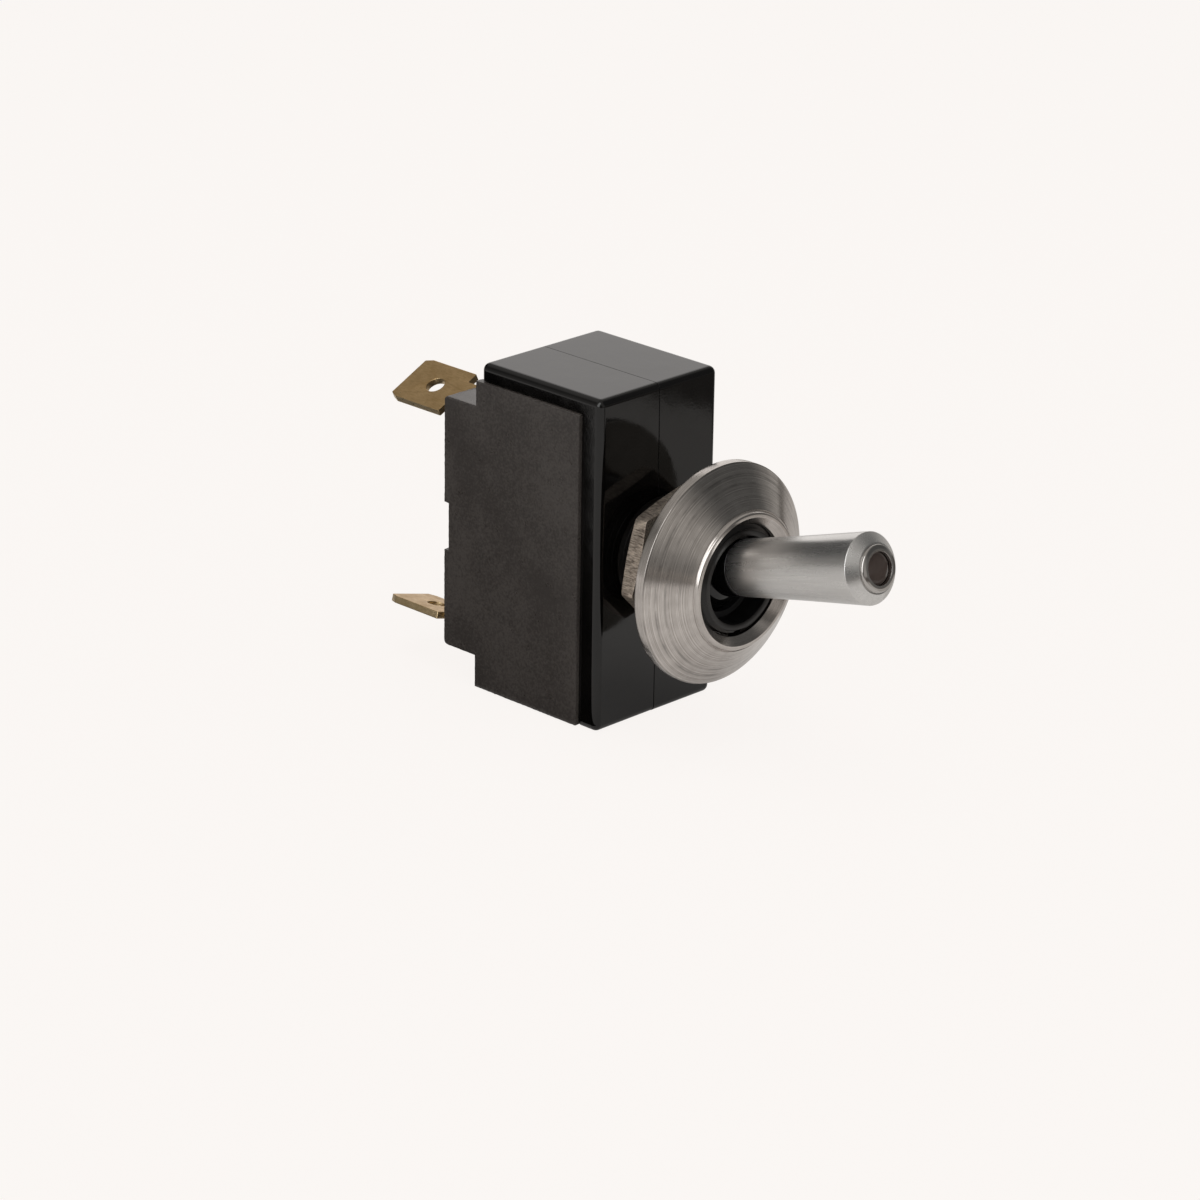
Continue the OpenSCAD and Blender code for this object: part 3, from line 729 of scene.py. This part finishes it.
def block(corner, other):
    """Box between two opposite corners, in either order."""
    low = Vector([min(pair) for pair in zip(corner, other)])
    high = Vector([max(pair) for pair in zip(corner, other)])
    bm = bmesh.new()
    bmesh.ops.create_cube(bm, size=1)
    place = Matrix.Translation((high + low) / 2) @ Matrix.Diagonal((*(high - low), 1))
    bmesh.ops.transform(bm, matrix=place, verts=bm.verts)
    return bm


def part_object(bm):
    mesh = bpy.data.meshes.new("part")
    bm.to_mesh(mesh)
    bm.free()
    obj = bpy.data.objects.new("part", mesh)
    scene.collection.objects.link(obj)
    return obj


def carved(bm, tools):
    """bm after exact booleans; tools are (operation, bmesh) in order."""
    body = part_object(bm)
    cutters = []
    for operation, part in tools:
        cutter = part_object(part)
        step = body.modifiers.new("cut", "BOOLEAN")
        step.operation = operation
        step.solver = "EXACT"
        step.object = cutter
        cutters.append(cutter)
    bpy.context.view_layer.update()
    out = evaluated_bmesh(body)
    for cutter in cutters:
        bpy.data.objects.remove(cutter, do_unlink=True)
    return out


def crisp_edges(bm, angle):
    return [e for e in bm.edges
            if len(e.link_faces) == 2 and e.calc_face_angle(0) > math.radians(angle)]


def case_half(name, side, node):
    """One moulded half: rounded outside, eased seam, recess for the side plate."""
    seam, outer_r, seam_r, lean = 0.012, 0.8, 0.045, 0.05
    bm = block((back_x, side * seam, -half_h), (front_x, side * half_w, half_h))
    outer = [e for e in bm.edges if not all(abs(v.co.y) < 1 for v in e.verts)]
    bmesh.ops.bevel(bm, geom=outer, offset=outer_r, segments=7, profile=0.5, affect="EDGES")
    rim = [e for e in bm.edges if all(abs(v.co.y) < 0.02 for v in e.verts)]
    bmesh.ops.bevel(bm, geom=rim, offset=seam_r, segments=2, profile=0.5, affect="EDGES")
    if side < 0:
        for v in bm.verts:
            if v.co.x > front_x - 0.9:
                v.co.x -= lean * (1 - abs(v.co.y) / half_w)
    hole_r, hole_depth = 6.05, 1.7
    hole = lathe([(front_x - hole_depth, 0), (front_x - hole_depth, hole_r),
                  (front_x + 1, hole_r), (front_x + 1, 0)], 96, False)
    bmesh.ops.recalc_face_normals(hole, faces=hole.faces)
    recess = block((back_x - 1, side * (plate_y - 0.1), -half_h - 1),
                   (plate_front + 0.1, side * FAR, plate_top + 0.1))
    inner, outer_y = (1, -7) if side < 0 else (0, 7)
    window = block((back_x - 1, inner, block_low), (back_x + 1.7, outer_y, block_top))
    bm = carved(bm, [("DIFFERENCE", hole), ("DIFFERENCE", recess), ("DIFFERENCE", window)])
    new_piece(name, bm, "case", "case", [node], sharp=30)


case_half("case_half_near", -1, "housing_left")
case_half("case_half_far", 1, "housing_right")


def rough_edges(bm, bevel, depth):
    """Bevels the sharp edges, then roughens the bevelled rims as on a worn moulding."""
    wide_area = 4
    bmesh.ops.bevel(bm, geom=crisp_edges(bm, 40), offset=bevel, segments=3, profile=0.5,
                    affect="EDGES", clamp_overlap=True)
    wide = [f for f in bm.faces if f.calc_area() > wide_area]
    bmesh.ops.inset_individual(bm, faces=wide, thickness=0.2, use_even_offset=False)
    for cut in (6, 1.2, 0.3):
        rims = set(e for f in bm.faces if f.calc_area() <= wide_area for e in f.edges)
        long = [e for e in rims if e.calc_length() > cut
                and not any(f.calc_area() > wide_area for f in e.link_faces)]
        if long:
            longest = max(e.calc_length() for e in long)
            bmesh.ops.subdivide_edges(bm, edges=long, cuts=min(int(longest / cut), 4),
                                      use_grid_fill=False)
    flat = set(v for f in bm.faces if f.calc_area() > wide_area for v in f.verts)
    for v in bm.verts:
        if v in flat:
            continue
        grit = noise.noise(v.co * 2.6) + 0.6 * noise.noise(v.co * 6.1 + Vector((5, 3, 1)))
        wear = 1.2 if v.co.x > plate_front - 0.6 else 0.45
        v.co += v.normal * depth * wear * (grit - 0.45)


def make_base():
    """Terminal block with its tongue and two side plates, and a shallow channel behind."""
    skin = base_high.y
    bm = block((base_low.x, -skin, block_low), (back_x, skin, block_top))
    tools = [("UNION", block((back_x - 0.3, s * plate_y, -half_h + 0.2),
                             (plate_front, s * skin, plate_top))) for s in (-1, 1)]
    tongue_w, tongue_end = 6.9, back_x + 3.2
    tools.append(("UNION", block((back_x - 0.3, -tongue_w, block_low + 0.1),
                                 (tongue_end, tongue_w, block_top - 0.1))))
    channel_z, channel_half, channel_depth = -1.05, 2.7, 0.65
    tools.append(("DIFFERENCE", block(
        (base_low.x - 1, -FAR, channel_z - channel_half),
        (base_low.x + channel_depth, FAR, channel_z + channel_half))))
    bm = carved(bm, tools)
    for v in bm.verts:
        v.co = Vector(round(c, 3) for c in v.co)
    bmesh.ops.remove_doubles(bm, verts=bm.verts, dist=0.002)
    bmesh.ops.dissolve_degenerate(bm, dist=0.0005, edges=bm.edges)
    bmesh.ops.dissolve_limit(bm, angle_limit=0.01, verts=bm.verts, edges=bm.edges)

    def at_back_rim(edge):
        z = block_low if edge.verts[0].co.z < 0 else block_top
        return all(v.co.x < base_low.x + 0.01 and abs(v.co.z - z) < 0.01 for v in edge.verts)

    bmesh.ops.bevel(bm, geom=[e for e in bm.edges if at_back_rim(e)], offset=0.5, segments=5,
                    profile=0.5, affect="EDGES")
    rough_edges(bm, 0.13, 0.05)
    new_piece("base_moulding", bm, "base", "case", ["terminal_base"], sharp=38)


make_base()

# ---- CAD nodes that keep their shape ----

finish_of = {s["node"]: s["material_slot"] for s in frame["record"]["subparts"]}
for name, node in frame["nodes"].items():
    node.data.materials.clear()
    node.data.materials.append(FINISHES[finish_of[name]])

# ---- floor, and the studio that the metal mirrors; metres from here on ----

WHITE, PAPER = (1.0, 0.965, 0.94), (0.62, 0.60, 0.57)
# PALE, DIM and DARK ground: painted light and shade of the floor beyond the lit paper, glowing in
# reflections only
PALE_GROUND = (0.50, 0.475, 0.45)
DIM_GROUND = (0.31, 0.285, 0.26)
DARK_GROUND = (0.12, 0.11, 0.10)


def stage_mesh(name, bm, mat):
    mesh = bpy.data.meshes.new(name)
    bm.to_mesh(mesh)
    bm.free()
    mesh.materials.append(mat)
    obj = bpy.data.objects.new(name, mesh)
    scene.collection.objects.link(obj)
    return obj


def ray_share(tree, shares):
    """A socket with the share given for the kind of ray traced; the highest where two hold."""
    path = tree.nodes.new("ShaderNodeLightPath")
    highest = None
    for kind, share in shares:
        part = tree.nodes.new("ShaderNodeMath")
        part.operation = "MULTIPLY"
        part.inputs[1].default_value = share
        tree.links.new(path.outputs[kind], part.inputs[0])
        if highest is None:
            highest = part.outputs[0]
            continue
        both = tree.nodes.new("ShaderNodeMath")
        both.operation = "MAXIMUM"
        tree.links.new(highest, both.inputs[0])
        tree.links.new(part.outputs[0], both.inputs[1])
        highest = both.outputs[0]
    return highest


def floor_material():
    """Paper that looks white to the camera and keeps the switch's shadow."""
    mat = bpy.data.materials.new("paper")
    mat.use_nodes = True
    tree = mat.node_tree
    tree.nodes.remove(tree.nodes["Principled BSDF"])
    paper = tree.nodes.new("ShaderNodeBsdfDiffuse")
    paper.inputs["Color"].default_value = (*PAPER, 1)
    white = tree.nodes.new("ShaderNodeEmission")
    white.inputs["Color"].default_value = (*WHITE, 1)
    white.inputs["Strength"].default_value = 1
    blend = tree.nodes.new("ShaderNodeMixShader")
    share = ray_share(tree, [("Is Camera Ray", 0.92), ("Is Glossy Ray", 0.3)])
    for socket, source in enumerate((share, paper.outputs[0], white.outputs[0])):
        tree.links.new(source, blend.inputs[socket])
    tree.links.new(blend.outputs[0], tree.nodes["Material Output"].inputs["Surface"])
    return mat


floor = bmesh.new()
bmesh.ops.create_circle(floor, cap_ends=True, segments=96, radius=3)
bmesh.ops.translate(floor, vec=(0, 0, cad_low.z - 0.00002), verts=floor.verts)
stage_mesh("floor", floor, floor_material())


def glow_material(name, ground, patches=()):
    """Emission of one colour with soft round patches: (direction, outer, inner, top, colour).

    A patch fades in from the cosine outer to inner, and fades out above the height top.
    """
    n = Nodes(name)
    unit = n.add("ShaderNodeVectorMath", {0: n.coord}, operation="NORMALIZE").outputs[0]
    height = n.add("ShaderNodeSeparateXYZ", {0: unit}).outputs["Z"]
    colour = (*ground, 1)
    for towards, outer, inner, top, tint in patches:
        facing = n.add("ShaderNodeVectorMath", {0: unit, 1: Vector(towards).normalized()},
                       operation="DOT_PRODUCT").outputs["Value"]
        share = n.math("MULTIPLY", n.to_range(facing, outer, inner, 0, 1),
                       n.to_range(height, top, top + 0.15, 1, 0))
        colour = n.mix(share, colour, tint)
    n.tree.nodes.remove(n.bsdf)
    glow = n.add("ShaderNodeEmission", {"Color": colour})
    n.tree.links.new(glow.outputs[0], n.tree.nodes["Material Output"].inputs["Surface"])
    return n.mat


def only_reflected(obj):
    obj.visible_camera = False
    obj.visible_diffuse = False
    obj.visible_shadow = False


def dark_room():
    """Dim studio seen only in reflections, open to the white backdrop behind the switch."""
    radius = 1.5
    window, window_cos = Vector((-0.65, 0.67, 0.36)).normalized(), 0.925
    bm = bmesh.new()
    bmesh.ops.create_uvsphere(bm, u_segments=128, v_segments=64, radius=radius)
    gone = [f for f in bm.faces if f.calc_center_median().normalized().dot(window) > window_cos
            or f.calc_center_median().z < -0.1]
    bmesh.ops.delete(bm, geom=gone, context="FACES")
    only_reflected(stage_mesh("room", bm, glow_material("room", (0.42, 0.405, 0.385), [
        # dark ceiling on the far right, dark wall on the far left, dark round the camera
        ((0.55, 0.67, 0.5), 0.70, 0.92, 1.0, (0.10, 0.10, 0.098)),
        ((-0.85, 0.17, 0.48), 0.38, 0.92, 0.55, (0.03, 0.03, 0.029)),
        ((0.75, -0.66, 0.03), 0.86, 1.0, 1.0, (0.07, 0.07, 0.068)),
        # three softboxes in an arc on the near left
        ((0.12, -0.95, 0.3), 0.93, 0.96, 1.0, (2.4, 2.4, 2.4)),
        ((0.16, -0.77, 0.6), 0.94, 0.965, 1.0, (2.4, 2.4, 2.4)),
        ((0.2, -0.52, 0.82), 0.96, 0.985, 1.0, (2.6, 2.6, 2.6))])))


def ground_card(name, start, end, reach, colour, out_to=(1.4, 1.4)):
    """Glowing ground beyond the lit paper, painted light and shade of that floor, seen only in
    reflections, over a range of degrees.

    reach and out_to are the half sizes in X and Y of its inner and outer edge.
    """
    steps = 48
    spot = Vector((0.018, 0, cad_low.z + 0.0001))
    ring = bmesh.new()
    rows = []
    for k in range(steps + 1):
        a = math.radians(start + (end - start) * k / steps)
        rows.append([ring.verts.new(spot + Vector((x * math.cos(a), y * math.sin(a), 0)))
                     for x, y in (reach, out_to)])
    for one, two in zip(rows, rows[1:]):
        ring.faces.new((one[0], two[0], two[1], one[1]))
    only_reflected(stage_mesh(name, ring, glow_material(name, colour)))


def shade_card():
    """The switch's own shadow side on the floor, seen only in reflections."""
    width, far_x = 0.08, -0.3
    x, y = front_x * MM + 0.001, -base_high.y * MM - 0.0004
    corners = [(x, y), (x - width, y - width), (far_x, y - width), (far_x, y)]
    dark = bmesh.new()
    dark.faces.new([dark.verts.new((u, v, cad_low.z + 0.0002)) for u, v in corners])
    only_reflected(stage_mesh("shade_card", dark,
                              glow_material("shade_card", (0.01, 0.009, 0.008))))


# Half sizes in X and Y of the lit paper, on the near and the far side, and of a pale edge
NEAR_PAPER, FAR_PAPER, PALE_EDGE = (0.120, 0.105), (0.120, 0.030), (0.16, 0.08)

dark_room()
ground_card("ground_right", 0, 97, FAR_PAPER, PALE_GROUND, PALE_EDGE)
ground_card("ground_right_far", 0, 97, PALE_EDGE, DARK_GROUND)
ground_card("ground_behind", 97, 180, FAR_PAPER, PALE_GROUND)
ground_card("ground_front", -28, 0, NEAR_PAPER, DIM_GROUND)
ground_card("ground_front_left", -60, -28, NEAR_PAPER, DARK_GROUND)
ground_card("ground_back", 180, 210, NEAR_PAPER, DIM_GROUND)
shade_card()

# ---- light ----


def make_world():
    """Even grey light on the object, and white wherever a ray meets no card."""
    world = bpy.data.worlds.new("studio")
    scene.world = world
    world.use_nodes = True
    tree = world.node_tree
    mix = tree.nodes.new("ShaderNodeMix")
    mix.data_type = "RGBA"
    mix.inputs[6].default_value = (0.45, 0.45, 0.46, 1)
    mix.inputs[7].default_value = (*WHITE, 1)
    white = ray_share(tree, [("Is Camera Ray", 1.0), ("Is Glossy Ray", 1.0),
                             ("Is Transmission Ray", 1.0)])
    tree.links.new(white, mix.inputs[0])
    tree.links.new(mix.outputs[2], tree.nodes["Background"].inputs["Color"])


def softbox(name, place, size, power):
    """Area lamp aimed at the origin; metal mirrors the room's patches instead of it."""
    data = bpy.data.lights.new(name, "AREA")
    data.shape = "RECTANGLE"
    data.size, data.size_y = size
    data.energy = power
    lamp = bpy.data.objects.new(name, data)
    lamp.location = place
    lamp.visible_glossy = False
    lamp.rotation_mode = "QUATERNION"
    lamp.rotation_quaternion = (-Vector(place)).to_track_quat("-Z", "Y")
    scene.collection.objects.link(lamp)


make_world()
softbox("overhead", (0.05, -0.05, 0.6), (0.5, 0.5), 1.7)
softbox("key", (0.52, -0.32, 0.07), (0.12, 0.3), 0.5)
